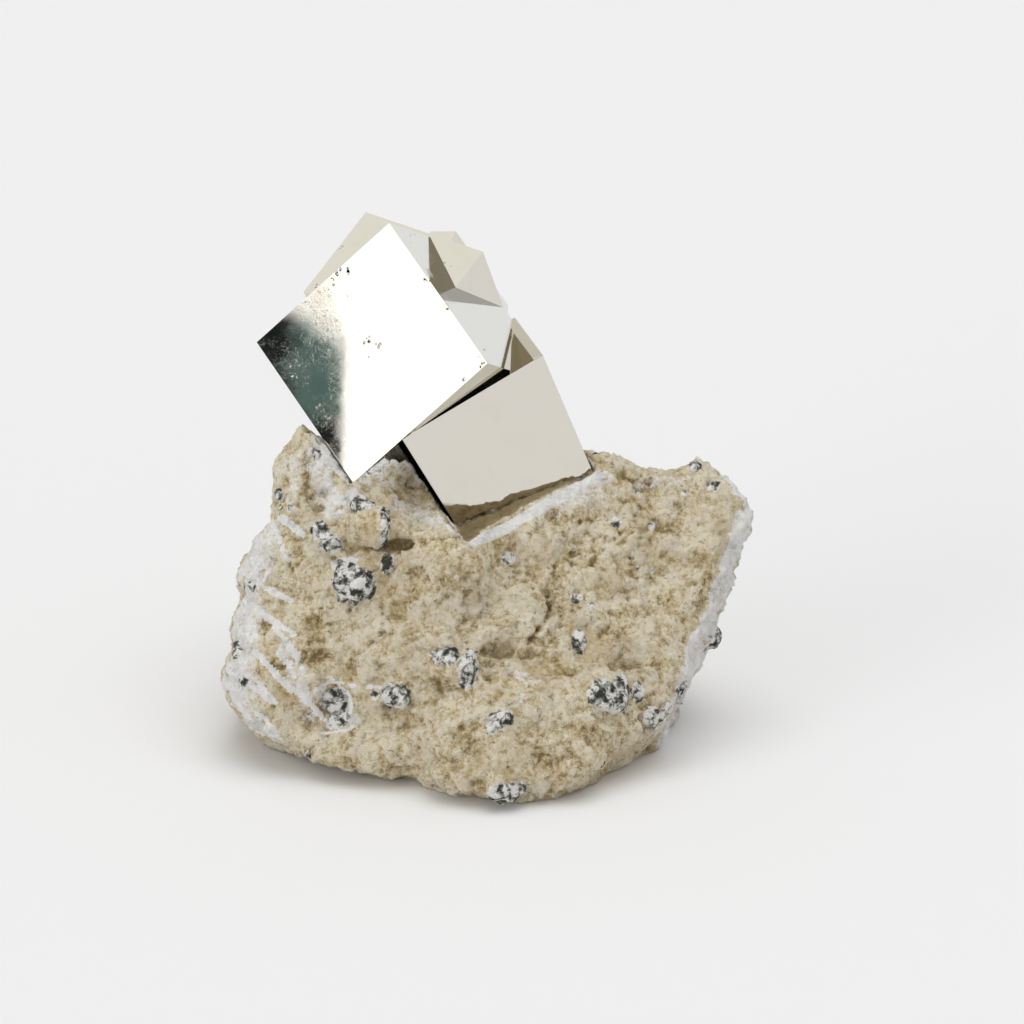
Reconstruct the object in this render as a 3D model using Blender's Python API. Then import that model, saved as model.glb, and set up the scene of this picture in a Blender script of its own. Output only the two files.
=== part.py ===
# Pyrite cubes grown together, seated in a broken block of marl.
# Metres, +Z up.  Names ending in Mm are millimetres, names ending in Deg are degrees.
import bpy
import bmesh
import math
import numpy as np
from mathutils import Euler, Matrix, Vector, noise

MM = 0.001

# The block's outline is set out in a plane that leans back from the vertical.
LEAN_DEG = 20.0
CLEARANCE_MM = 0.3

# Crystals: size, centre (across, deep, up in the leaning frame) and turn.
UPPER_CUBE = dict(size=(23.5, 23.5, 22.8), centre=(-9.55, -2.02, 48.02), turn=(-100.9, 49.7, -34.8))
REAR_BLOCK = dict(size=(14.52, 18.68, 15.0), centre=(-10.16, 2.48, 55.23), turn=(-24.8, 46.0, -140.6))
LOWER_CUBE = dict(size=(20.62, 17.3, 19.0), centre=(0.58, -3.45, 39.34), turn=(-71.4, -30.8, 1.3))
EDGE_STEP = dict(size=(1.28, 2.0, 18.9), centre=(5.05, -5.83, 50.55), turn=(-72.8, -22.2, 4.4))
TINY_CUBE = dict(size=(4.2, 4.2, 4.2), centre=(-5.53, 3.05, 62.38), turn=(-39.8, 1.6, -37.8))
LOWER_CUBE_TAPER_MM = (0.45, 2.0)
SHARED_SIDE = dict(size=(10.0, 20.0, 40.0), centre=(13.6, -3.0, 46.5), turn=(-71.4, -30.8, 1.3))

# Moulds: how far they stay open toward the front, and the wider crack at the lower cube's left.
MOULD_FORWARD_MM = 16.0
LEFT_CRACK_MM = 0.9
LEDGE_RISE_MM = 3.3
LEDGE_COVER_MM = 1.0

# Block of marl
BLOCK_CENTRE = (-1.9, 5.0, 12.5)
BLOCK_CELLS = 30
BLOCK_FRONT_REACH_MM = 24.0
BLOCK_REAR_REACH_MM = 25.0
BLOCK_BOXINESS = 3.0
EDGE_HARDNESS = 14.0
OUTLINE_FIRMNESS = 0.65
LUMP_MM = 1.1
LUMP_PER_MM = 0.16
GRAIN_MM = 0.33
GRAIN_PER_MM = 0.75
FRACTURE_COUNT = 46
FRACTURE_SEED = 11
FRACTURE_DEPTH = (0.90, 0.985)

# Outline seen square on to the leaning plane: across, up.
OUTLINE_MM = [
    (-23.9, 40.1), (-22.4, 39.4), (-20.1, 38.5), (-17.5, 38.0), (-13.7, 38.3), (-10.8, 38.5), (-8.6, 39.0),
    (-2.2, 38.5), (6.8, 37.9), (11.9, 37.0), (13.4, 36.6), (15.7, 36.2), (19.6, 34.7), (22.5, 34.8),
    (26.0, 34.9), (26.9, 36.0), (28.5, 35.8), (30.5, 33.7), (31.7, 32.1), (33.2, 30.2), (34.2, 28.9),
    (33.3, 26.4), (32.4, 24.4), (31.7, 22.5), (31.2, 20.5), (30.7, 18.7), (29.8, 16.8), (28.8, 14.8),
    (27.8, 12.9), (27.3, 11.0), (26.6, 9.1), (25.6, 7.2), (25.1, 5.2), (24.1, 3.3), (23.4, 1.4),
    (22.1, -0.5), (20.5, -3.0), (17.0, -9.0), (0.0, -13.0), (-15.0, -10.0), (-25.9, -2.4),
    (-28.3, -0.5), (-30.2, 1.4), (-31.4, 3.3), (-32.8, 5.2), (-33.7, 7.2), (-34.2, 9.1), (-33.0, 11.0),
    (-32.3, 12.9), (-32.3, 14.8), (-31.7, 16.8), (-31.1, 18.7), (-31.9, 20.5), (-31.1, 22.5),
    (-30.3, 24.4), (-29.9, 26.4), (-27.5, 28.3), (-27.5, 30.2), (-27.3, 32.1), (-27.1, 34.0),
    (-26.4, 36.0), (-24.4, 37.9),
]

# Broken faces of the block: three points each (across, deep, up in the leaning frame).
FRONT_RIGHT_FACE = ((5.8, -12.8, 30.1), (13.4, -10.2, 34.0), (9.3, -18.9, -2.4))
FRONT_LEFT_FACE = ((-2.6, -20.0, 25.7), (-23.9, -14.5, 23.2), (-11.1, -17.5, -3.7))
REAR_FACES = [
    (Vector((0.25, 1.0, 0.30)), 21.0),
    (Vector((-0.55, 1.0, 0.45)), 22.0),
    (Vector((0.15, 0.8, -0.85)), 20.5),
    (Vector((0.75, 0.80, 0.10)), 28.5),
    (Vector((-0.85, 0.65, -0.25)), 27.0),
    (Vector((0.25, 0.75, 1.0)), 26.5),
]
UNDER_FACES = [
    (Vector((-0.30, -0.50, -1.0)), 21.0),
    (Vector((0.62, -0.53, -0.60)), 26.4),
]

# Raised (+) and sunken (-) places on the front: across, up, half width, half height, amount.
FRONT_SHAPES_MM = {
    "nose below the notch": (-3.4, 23.6, 4.2, 4.6, 4.2),
    "hollow under the upper cube": (-13.2, 35.5, 5.5, 6.0, -5.0),
    "hollow beside the lower cube": (-7.3, 32.5, 3.0, 4.5, -3.5),
    "dome below the hollow": (-14.7, 28.3, 2.4, 2.3, 1.6),
    "left nodule": (-20.4, 25.7, 1.6, 1.6, 0.9),
    "round nodule": (-16.5, 20.6, 2.2, 2.4, 1.5),
    "shaded hollow": (-12.6, 24.8, 2.6, 1.6, -1.3),
    "horn groove": (-22.9, 35.2, 1.6, 2.6, -1.3),
    "horn pit": (-20.7, 31.5, 1.3, 1.3, -1.2),
    "middle nodule": (-2.4, 10.4, 2.8, 2.0, 1.2),
    "middle hollow": (1.2, 12.0, 2.4, 1.8, -1.6),
    "right nodule cluster": (15.4, 6.2, 3.2, 2.2, 0.9),
    "brown hollow": (17.0, 10.0, 2.6, 1.8, -1.2),
    "lower left hollow": (-18.8, 5.2, 1.8, 3.0, -1.3),
    "left swell": (-26.0, 10.0, 6.0, 8.0, 2.0),
    "small nodule": (-11.5, 6.5, 1.9, 1.6, 1.0),
    "pocket left of the slab": (-10.5, -4.6, 3.6, 2.2, -2.6),
    "foot nodule": (2.0, -5.6, 2.4, 1.5, 0.9),
}

# Slab that stands forward at the foot of the front: from, to across and its top.
SLAB_LEFT_MM = -6.6
SLAB_RIGHT_MM = 14.5
SLAB_TOP_MM = 7.0
SLAB_FORWARD_MM = 3.4
SLAB_TOP_SLOPE = 0.42
SLAB_TOP_LIMIT_MM = 9.0

# Farther than any part of the block
FAR_MM = 1000.0


def leanMatrix():
    return Matrix.Rotation(math.radians(-LEAN_DEG), 4, 'X')


def toLeaning(points):
    a = math.radians(LEAN_DEG)
    return np.stack([points[:, 0],
                     points[:, 1] * math.cos(a) - points[:, 2] * math.sin(a),
                     points[:, 1] * math.sin(a) + points[:, 2] * math.cos(a)], axis=1)


def toUpright(points):
    a = math.radians(LEAN_DEG)
    return np.stack([points[:, 0],
                     points[:, 1] * math.cos(a) + points[:, 2] * math.sin(a),
                     -points[:, 1] * math.sin(a) + points[:, 2] * math.cos(a)], axis=1)


def clearScene():
    for ob in list(bpy.data.objects):
        bpy.data.objects.remove(ob, do_unlink=True)


def plainMaterial(name, colour, metallic, roughness):
    mat = bpy.data.materials.new(name)
    mat.use_nodes = True
    shader = mat.node_tree.nodes["Principled BSDF"]
    shader.inputs["Base Color"].default_value = (*colour, 1.0)
    shader.inputs["Metallic"].default_value = metallic
    shader.inputs["Roughness"].default_value = roughness
    return mat


def objectFromBmesh(name, bm, material):
    bmesh.ops.recalc_face_normals(bm, faces=bm.faces)
    mesh = bpy.data.meshes.new(name)
    bm.to_mesh(mesh)
    bm.free()
    ob = bpy.data.objects.new(name, mesh)
    if material is not None:
        mesh.materials.append(material)
    bpy.context.scene.collection.objects.link(ob)
    return ob


def crystalPlace(crystal):
    turn = Euler([math.radians(a) for a in crystal["turn"]], 'XYZ').to_matrix().to_4x4()
    centre = Vector(crystal["centre"]) * MM
    return leanMatrix() @ Matrix.Translation(centre) @ turn


def crystalBody(name, crystal, gap=0.0, leftGap=None, forward=0.0, taper=(0.0, 0.0), cover=0.0, ledgeRise=0.0):
    # Local X runs along the front face's top edge, Y down the face, Z into the crystal.
    # gap widens every side and leftGap the left edge's top, forward carries the front face out,
    # taper draws the left and right foot in, cover lifts the whole foot and ledgeRise the left foot.
    bm = bmesh.new()
    bmesh.ops.create_cube(bm, size=1.0)
    leftGap = gap if leftGap is None else leftGap
    for v in bm.verts:
        right, foot, inner = v.co.x > 0, v.co.y > 0, v.co.z > 0
        corner = Vector([c * s for c, s in zip(v.co, crystal["size"])])
        corner.x += gap if right else -(gap if foot else leftGap)
        corner.y += gap - cover if foot else -gap
        corner.z += gap if inner else -max(gap, forward)
        if foot:
            corner.x -= taper[1] if right else -taper[0]
        if foot and not right:
            corner.y -= ledgeRise
        v.co = corner * MM
    bmesh.ops.transform(bm, matrix=crystalPlace(crystal), verts=bm.verts)
    return objectFromBmesh(name, bm, None)


def combine(target, tool, operation):
    step = target.modifiers.new(operation.lower(), 'BOOLEAN')
    step.operation = operation
    step.solver = 'EXACT'
    step.object = tool
    bpy.context.view_layer.update()
    solid = bpy.data.meshes.new_from_object(target.evaluated_get(bpy.context.evaluated_depsgraph_get()))
    target.modifiers.clear()
    old = target.data
    target.data = solid
    bpy.data.meshes.remove(old)
    bpy.data.objects.remove(tool, do_unlink=True)


def outlineReach(centre, directions):
    # Distance from the centre to the outline along each direction in the plane.
    corners = np.array(OUTLINE_MM) - np.array(centre)
    nextCorners = np.roll(corners, -1, axis=0)
    edges = nextCorners - corners
    reach = np.full(len(directions), FAR_MM)
    for start, edge in zip(corners, edges):
        denominator = directions[:, 0] * edge[1] - directions[:, 1] * edge[0]
        denominator = np.where(np.abs(denominator) < 1e-9, 1e-9, denominator)
        along = (start[0] * edge[1] - start[1] * edge[0]) / denominator
        share = (start[0] * directions[:, 1] - start[1] * directions[:, 0]) / denominator
        hit = (along > 0) & (share >= -1e-6) & (share <= 1 + 1e-6)
        reach = np.where(hit, np.minimum(reach, along), reach)
    return reach


def facePlane(three):
    a, b, c = (Vector(p) for p in three)
    normal = (b - a).cross(c - a).normalized()
    if normal.y > 0:
        normal = -normal
    return np.array(normal), float(normal.dot(a))


def faceLimit(directions, normal, offset):
    # How far each direction runs before it meets a flat face.
    facing = directions @ normal
    return np.where(facing > 0.02, offset / np.maximum(facing, 0.02), FAR_MM)


def blockPoints(directions):
    centre = np.array(BLOCK_CENTRE)
    leanCentre = toLeaning(centre[None, :])[0]
    lean = toLeaning(directions)
    inPlane = lean[:, [0, 2]]
    length = np.maximum(np.linalg.norm(inPlane, axis=1), 1e-6)
    reach = outlineReach(leanCentre[[0, 2]], inPlane / length[:, None])
    depth = np.where(lean[:, 1] < 0, BLOCK_FRONT_REACH_MM, BLOCK_REAR_REACH_MM)
    body = ((length / reach) ** BLOCK_BOXINESS
            + (np.abs(lean[:, 1]) / depth) ** BLOCK_BOXINESS) ** (-1 / BLOCK_BOXINESS)
    limits = [body]
    for three in (FRONT_RIGHT_FACE, FRONT_LEFT_FACE):
        normal, offset = facePlane(three)
        limits.append(faceLimit(lean, normal, offset - leanCentre @ normal))
    for normal, offset in REAR_FACES + UNDER_FACES:
        limits.append(faceLimit(directions, np.array(normal.normalized()), offset))

    # Small broken facets on the back, each set a little inside the body.
    chance = np.random.default_rng(FRACTURE_SEED)
    for number in range(FRACTURE_COUNT):
        normal = chance.normal(size=3)
        normal /= np.linalg.norm(normal)
        inside = chance.uniform(*FRACTURE_DEPTH)
        if toLeaning(normal[None, :])[0][1] < 0.5:
            continue
        nearest = np.argmax(directions @ normal)
        offset = body[nearest] * (directions[nearest] @ normal) * inside
        limits.append(faceLimit(directions, normal, offset))

    # Edges between faces are rounded, but the outline keeps most of its size.
    limits = np.array(limits)
    rounded = (limits ** -EDGE_HARDNESS).sum(axis=0) ** (-1 / EDGE_HARDNESS)
    reach = rounded * (1 - OUTLINE_FIRMNESS) + limits.min(axis=0) * OUTLINE_FIRMNESS
    return centre + directions * reach[:, None]


def rise(values, start, steepness):
    return 1 / (1 + np.exp(-(values - start) * steepness))


def shapeFront(points, normals):
    lean = toLeaning(points)
    facing = np.clip(-toLeaning(normals)[:, 1] * 1.6, 0, 1)
    push = np.zeros(len(points))
    for across, up, halfWide, halfHigh, amount in FRONT_SHAPES_MM.values():
        away = ((lean[:, 0] - across) / halfWide) ** 2 + ((lean[:, 2] - up) / halfHigh) ** 2
        push += amount * np.exp(-0.8 * away ** 1.5)
    top = np.minimum(SLAB_TOP_MM + SLAB_TOP_SLOPE * lean[:, 0], SLAB_TOP_LIMIT_MM)
    inSlab = (rise(lean[:, 0], SLAB_LEFT_MM, 2.2) * rise(-lean[:, 0], -SLAB_RIGHT_MM, 1.3)
              * rise(-lean[:, 2], -top, 1.0))
    push += SLAB_FORWARD_MM * inSlab
    lean[:, 1] -= push * facing
    return toUpright(lean)


def roughen(points, normals):
    moved = points.copy()
    for i, (p, n) in enumerate(zip(points, normals)):
        lumps = noise.fractal(Vector(p) * LUMP_PER_MM, 0.9, 2.1, 4)
        grains = noise.noise(Vector(p) * GRAIN_PER_MM + Vector((7.3, 1.9, 4.4)))
        moved[i] = p + n * (LUMP_MM * lumps + GRAIN_MM * grains)
    return moved


def vertexNormals(bm):
    bm.normal_update()
    return np.array([v.normal[:] for v in bm.verts])


def marlBlock(material):
    bm = bmesh.new()
    bmesh.ops.create_cube(bm, size=2.0)
    bmesh.ops.subdivide_edges(bm, edges=bm.edges, cuts=BLOCK_CELLS - 1, use_grid_fill=True)
    cube = np.array([v.co[:] for v in bm.verts])
    directions = np.tan(cube * math.pi / 4 * 0.96)
    directions /= np.linalg.norm(directions, axis=1)[:, None]
    points = blockPoints(directions)
    for v, p in zip(bm.verts, points):
        v.co = p
    points = shapeFront(points, vertexNormals(bm))
    for v, p in zip(bm.verts, points):
        v.co = p
    points = roughen(points, vertexNormals(bm))
    for v, p in zip(bm.verts, points):
        v.co = Vector(p) * MM
    bmesh.ops.triangulate(bm, faces=bm.faces)
    return objectFromBmesh("matrix_rock", bm, material)


def floorCutter(width=0.2, depth=0.05):
    bm = bmesh.new()
    place = Matrix.Translation((0.0, 0.0, -depth / 2)) @ Matrix.Diagonal((width, width, depth, 1.0))
    bmesh.ops.create_cube(bm, size=1.0, matrix=place)
    return objectFromBmesh("floor_cut", bm, None)


def centreOnFloor(objects):
    # The origin goes under the middle of the whole piece, on the floor.
    corners = np.array([v.co[:] for ob in objects for v in ob.data.vertices])
    low, high = corners.min(axis=0), corners.max(axis=0)
    shift = Matrix.Translation((-(low[0] + high[0]) / 2, -(low[1] + high[1]) / 2, -low[2]))
    for ob in objects:
        ob.data.transform(shift)
    print("shift mm", [round(v / MM, 3) for v in shift.translation])


clearScene()
marl = plainMaterial("marl", (0.47, 0.40, 0.29), 0.0, 0.9)
pyrite = plainMaterial("pyrite", (0.78, 0.74, 0.62), 1.0, 0.12)

cluster = crystalBody("pyrite_cluster", UPPER_CUBE)
combine(cluster, crystalBody("rear_block", REAR_BLOCK), 'UNION')
combine(cluster, crystalBody("tiny_cube", TINY_CUBE), 'UNION')
combine(cluster, crystalBody("shared_side", SHARED_SIDE), 'DIFFERENCE')
combine(cluster, crystalBody("lower_cube", LOWER_CUBE, taper=LOWER_CUBE_TAPER_MM), 'UNION')
combine(cluster, crystalBody("edge_step", EDGE_STEP), 'UNION')
cluster.data.materials.clear()
cluster.data.materials.append(pyrite)

rock = marlBlock(marl)
combine(rock, floorCutter(), 'DIFFERENCE')
combine(rock, crystalBody("upper_mould", UPPER_CUBE, gap=CLEARANCE_MM, forward=MOULD_FORWARD_MM), 'DIFFERENCE')
combine(rock, crystalBody("lower_mould", LOWER_CUBE, gap=CLEARANCE_MM, leftGap=LEFT_CRACK_MM,
                          taper=LOWER_CUBE_TAPER_MM), 'DIFFERENCE')
combine(rock, crystalBody("lower_opening", LOWER_CUBE, gap=CLEARANCE_MM, leftGap=LEFT_CRACK_MM,
                          forward=MOULD_FORWARD_MM, taper=LOWER_CUBE_TAPER_MM, cover=LEDGE_COVER_MM,
                          ledgeRise=LEDGE_RISE_MM), 'DIFFERENCE')
rock.data.materials.clear()
rock.data.materials.append(marl)

centreOnFloor([rock, cluster])

print("rock triangles", sum(len(p.vertices) - 2 for p in rock.data.polygons))
print("cluster triangles", sum(len(p.vertices) - 2 for p in cluster.data.polygons))
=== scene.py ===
import math
from functools import partial

import bmesh
import bpy
import numpy as np
from mathutils import Euler, Matrix, Vector, noise
from mathutils.bvhtree import BVHTree


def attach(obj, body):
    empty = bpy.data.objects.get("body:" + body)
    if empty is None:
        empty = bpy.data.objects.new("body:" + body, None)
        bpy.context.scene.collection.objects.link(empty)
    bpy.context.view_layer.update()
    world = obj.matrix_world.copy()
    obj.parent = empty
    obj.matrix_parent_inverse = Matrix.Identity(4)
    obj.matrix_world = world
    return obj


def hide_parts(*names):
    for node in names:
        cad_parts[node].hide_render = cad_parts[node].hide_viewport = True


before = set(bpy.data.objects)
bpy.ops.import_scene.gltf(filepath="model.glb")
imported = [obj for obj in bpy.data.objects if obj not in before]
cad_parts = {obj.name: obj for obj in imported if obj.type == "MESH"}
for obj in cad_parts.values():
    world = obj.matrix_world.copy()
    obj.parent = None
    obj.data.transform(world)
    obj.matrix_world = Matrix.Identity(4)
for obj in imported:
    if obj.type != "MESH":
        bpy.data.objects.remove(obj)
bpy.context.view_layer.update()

mm = 0.001

# The photograph looks down by this angle. "Leaning" places are across and up in a plane square to
# that view, in millimetres, with the origin under the middle of the piece.
leaning = {"angle": 20.0, "origin": (0.036, -5.366, 0.0)}


def toLinear(code):
    # sRGB hex to linear colour
    parts = [int(code[i:i + 2], 16) / 255 for i in (1, 3, 5)]
    return [p / 12.92 if p <= 0.04045 else ((p + 0.055) / 1.055) ** 2.4 for p in parts] + [1.0]


def addNode(tree, kind, settings=None, inputs=None):
    # one node with its settings, its values and the sockets that feed it
    node = tree.nodes.new(kind)
    for name, value in (settings or {}).items():
        setattr(node, name, value)
    for name, value in (inputs or {}).items():
        if isinstance(value, bpy.types.NodeSocket):
            tree.links.new(value, node.inputs[name])
        else:
            node.inputs[name].default_value = value
    return node


def addNoise(tree, place, size, detail, roughness, distortion=0.0):
    # noise with grains of this size in millimetres
    return addNode(tree, "ShaderNodeTexNoise", {},
                   {"Vector": place, "Scale": 1.0 / (size * mm), "Detail": detail,
                    "Roughness": roughness, "Distortion": distortion}).outputs["Fac"]


def addSpread(tree, value, low, high, end=1.0, start=0.0):
    # the value, with low taken to start and high to end, and held between them
    return addNode(tree, "ShaderNodeMapRange", {},
                   {"Value": value, "From Min": low, "From Max": high,
                    "To Min": start, "To Max": end}).outputs["Result"]


def addMaths(tree, operation, first, second=0.0, third=0.0):
    return addNode(tree, "ShaderNodeMath", {"operation": operation},
                   {0: first, 1: second, 2: third}).outputs["Value"]


def addDistance(tree, place, spot):
    return addNode(tree, "ShaderNodeVectorMath", {"operation": "DISTANCE"},
                   {0: place, 1: spot}).outputs["Value"]


def mixColours(tree, factor, under, over):
    return addNode(tree, "ShaderNodeMix", {"data_type": "RGBA"},
                   {0: factor, 6: under, 7: over}).outputs[2]


def mixValues(tree, factor, under, over):
    return addNode(tree, "ShaderNodeMix", {"data_type": "FLOAT"},
                   {0: factor, 2: under, 3: over}).outputs[0]


def addBump(tree, height, depth, strength=1.0, under=None):
    # a bump of this depth in millimetres, on top of another if there is one
    inputs = {"Height": height, "Strength": strength, "Distance": depth * mm}
    if under is not None:
        inputs["Normal"] = under
    return addNode(tree, "ShaderNodeBump", {}, inputs).outputs["Normal"]


def leaningCoordinates(points):
    # across, deep and up in the leaning plane, in millimetres
    angle = math.radians(leaning["angle"])
    p = points / mm - np.array(leaning["origin"])
    return np.stack([p[:, 0],
                     p[:, 1] * math.cos(angle) - p[:, 2] * math.sin(angle),
                     p[:, 1] * math.sin(angle) + p[:, 2] * math.cos(angle)], axis=1)


def fromLeaning(across, deep, up):
    angle = math.radians(leaning["angle"])
    return Vector((across,
                   deep * math.cos(angle) + up * math.sin(angle),
                   -deep * math.sin(angle) + up * math.cos(angle))) * mm + Vector(leaning["origin"]) * mm


def smoothStep(low, high, x):
    t = np.clip((x - low) / (high - low), 0, 1)
    return t * t * (3 - 2 * t)


def mergedCopy(node):
    # the CAD node's triangles, joined into one skin
    bm = bmesh.new()
    bm.from_mesh(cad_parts[node].data)
    bmesh.ops.remove_doubles(bm, verts=bm.verts, dist=1e-6)
    return bm


def finishedPiece(name, mesh, node, material):
    piece = bpy.data.objects.new(name, mesh)
    bpy.context.scene.collection.objects.link(piece)
    mesh.materials.clear()
    mesh.materials.append(material)
    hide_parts(node)
    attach(piece, "root")


def evaluatedMesh(ob):
    # the object's mesh with its modifiers applied
    return bpy.data.meshes.new_from_object(ob.evaluated_get(bpy.context.evaluated_depsgraph_get()))


# Marl

marlColours = {
    # The darkest tan is painted shade in the low places and also the colour of dark specks; the cream above
    # body is painted light on raised grains and also the colour of pale specks.
    "hollowShadeAndSpeck": "#8E7A54",
    "body": "#D8C59B",
    "raisedLightAndSpeck": "#F0E6CE",
    "warm": "#C4A974",
    "cool": "#D2C8B4",
    # brown of the mould foot's mud, made darker as painted shade
    "mudAndShade": "#8C774C",
    "calcite": "#FCFBF8",
    "noduleDark": "#40413A",
    "noduleMid": "#93928A",
    "nodulePale": "#F8F6F1",
    "patchSize": 8.0,        # millimetres
    "grainSize": 0.55,
    "speckSize": 0.75,
    "mottleSize": 1.1,
}


def marlMaterial():
    # Marl, broken not cut: a matt, crumbly lime mud. Its colour is darkened to tan in its hollows as painted
    # shade and lightened to cream on its raised grains as painted light.
    # White calcite dust and veins, and nodules spotted dark on pale, come from the piece's own attributes.
    c = marlColours
    mat = bpy.data.materials.new("broken marl")
    mat.use_nodes = True
    tree = mat.node_tree
    shader = tree.nodes["Principled BSDF"]
    place = addNode(tree, "ShaderNodeTexCoord").outputs["Object"]
    noiseField = partial(addNoise, tree, place)
    spread = partial(addSpread, tree)
    maths = partial(addMaths, tree)

    def attribute(name):
        return addNode(tree, "ShaderNodeAttribute", {"attribute_name": name}).outputs["Fac"]

    def covered(under, name, factor):
        # another colour covered by the named one
        return mixColours(tree, factor, under, toLinear(c[name]))

    def ramp(value, *stops):
        node = addNode(tree, "ShaderNodeValToRGB", {}, {"Fac": value})
        elements = node.color_ramp.elements
        elements[0].position, elements[1].position = stops[0][0], stops[-1][0]
        elements[0].color, elements[1].color = toLinear(c[stops[0][1]]), toLinear(c[stops[-1][1]])
        for position, name in stops[1:-1]:
            elements.new(position).color = toLinear(c[name])
        return node.outputs["Color"]

    grain = noiseField(c["grainSize"], 6.0, 0.68, 0.3)
    # height of the surface, with the grain's own height added; the ramp paints shade into the low places and
    # light onto the high ones
    height = maths("MULTIPLY_ADD", spread(grain, 0.30, 0.70), 0.75, attribute("relief"))
    stone = ramp(height, (0.36, "hollowShadeAndSpeck"), (0.72, "body"), (1.20, "raisedLightAndSpeck"))
    speck = noiseField(c["speckSize"], 3.0, 0.75, 0.6)
    stone = covered(stone, "hollowShadeAndSpeck", spread(speck, 0.41, 0.33, 0.75))
    stone = covered(stone, "raisedLightAndSpeck", spread(speck, 0.58, 0.66, 0.65))
    patch = noiseField(c["patchSize"], 3.0, 0.6)
    stone = covered(stone, "warm", spread(patch, 0.50, 0.68, 0.45))
    patch = noiseField(c["patchSize"] * 0.7, 3.0, 0.6, 0.5)
    stone = covered(stone, "cool", spread(patch, 0.54, 0.70, 0.40))
    # the mould foot: mud brown, darkened as painted shade
    stone = covered(stone, "mudAndShade", spread(attribute("mudAndShade"), 0.0, 1.0, 0.85))

    # calcite dust, thick where the attribute is strong and broken up by the grain
    dustEdge = maths("SUBTRACT", attribute("calcite"), noiseField(0.9, 6.0, 0.78))
    stone = covered(stone, "calcite", spread(dustEdge, -0.03, 0.12, 0.96))

    # nodules: pale, with dark spots that gather, and an uneven edge
    mottle = noiseField(c["mottleSize"], 5.0, 0.62, 0.25)
    spots = ramp(mottle, (0.41, "noduleDark"), (0.47, "noduleMid"), (0.55, "nodulePale"))
    uneven = maths("SUBTRACT", attribute("nodule"), noiseField(0.9, 4.0, 0.7))
    stone = mixColours(tree, spread(uneven, -0.10, 0.14), stone, spots)
    tree.links.new(stone, shader.inputs["Base Color"])
    shader.inputs["Roughness"].default_value = 0.93
    shader.inputs["Specular IOR Level"].default_value = 0.2

    bump = addBump(tree, grain, 0.50)
    fineBump = addBump(tree, noiseField(0.3, 4.0, 0.65), 0.20, under=bump)
    tree.links.new(fineBump, shader.inputs["Normal"])
    return mat


# Nodules on the front: across, up, half width, half height, raised by. These and the lists below are
# in millimetres in the leaning plane.
frontNodules = [
    (-15.6, 29.5, 1.3, 1.2, 0.5), (-13.0, 27.3, 0.8, 2.1, 0.2), (-20.8, 26.9, 1.2, 1.3, 0.5),
    (-19.4, 25.2, 1.2, 1.2, 0.6), (-16.9, 20.3, 2.0, 2.6, 0.9), (-14.8, 20.2, 0.9, 1.7, 0.6),
    (-18.6, 22.6, 0.8, 0.9, 0.3),
    (-12.5, 22.6, 0.9, 1.0, 0.6), (-5.1, 11.2, 1.8, 1.1, 0.6), (-2.4, 9.4, 1.3, 2.3, 0.8),
    (-11.2, 6.2, 1.8, 1.6, 0.8), (-14.0, 6.3, 0.6, 0.8, 0.3), (-19.0, 5.6, 1.4, 1.5, 0.5),
    (-18.6, 3.3, 1.4, 1.3, 0.5), (1.7, 3.3, 1.5, 1.1, 0.4), (0.6, 2.2, 0.7, 0.8, 0.3),
    (14.2, 6.4, 1.7, 1.6, 0.6), (16.6, 6.6, 1.2, 1.8, 0.5), (15.6, 5.2, 1.4, 1.2, 0.5),
    (18.9, 6.5, 0.9, 1.2, 0.4), (20.9, 3.3, 1.2, 1.4, 0.4), (22.9, 4.4, 0.7, 1.0, 0.4),
    (24.7, 5.9, 0.9, 2.0, 0.6), (2.4, -5.6, 2.3, 1.2, 0.7), (4.0, -5.2, 1.0, 0.9, 0.5),
    (11.6, 12.9, 0.9, 1.5, 0.4), (11.3, 18.4, 0.8, 0.6, 0.3), (13.2, 17.4, 0.5, 0.5, 0.2),
    (16.4, 28.0, 0.7, 0.8, 0.3), (21.1, 27.6, 0.6, 0.6, 0.3), (21.1, 21.9, 0.4, 0.4, 0.2),
    (19.2, 22.3, 0.3, 0.3, 0.1), (18.3, 23.4, 0.3, 0.3, 0.1), (2.9, 23.4, 0.7, 0.9, 0.3),
    (25.1, 31.7, 0.4, 0.4, 0.2), (28.8, 32.5, 0.7, 0.7, 0.4), (26.6, 35.0, 0.9, 0.6, 0.5),
    (-31.7, 11.8, 0.8, 1.1, 0.5), (-30.7, 7.8, 0.6, 0.8, 0.3), (-31.0, 19.8, 0.5, 0.7, 0.4),
    (-29.9, 19.8, 0.6, 0.7, 0.4), (-24.0, -2.6, 0.9, 0.9, 0.5), (-26.4, 31.5, 0.5, 0.8, 0.3),
    (-21.6, 36.6, 0.8, 0.7, 0.4), (-24.7, 29.9, 0.4, 0.4, 0.1), (-26.1, 29.9, 0.3, 0.4, 0.1),
    (-22.3, -1.0, 0.7, 0.4, 0.2),
]

# Rounded swellings under them: across, up, half width, half height, raised by.
frontDomes = [
    (-14.7, 27.0, 3.0, 3.7, 1.4), (-20.2, 26.2, 2.2, 2.2, 0.7), (-17.0, 21.0, 3.4, 3.6, 0.7),
    (-21.0, 33.0, 1.8, 2.6, 0.5), (-4.0, 9.8, 3.6, 2.6, 0.5), (-11.5, 6.3, 2.8, 2.2, 0.4),
    (15.4, 6.2, 4.0, 2.6, 0.4),
]

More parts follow.
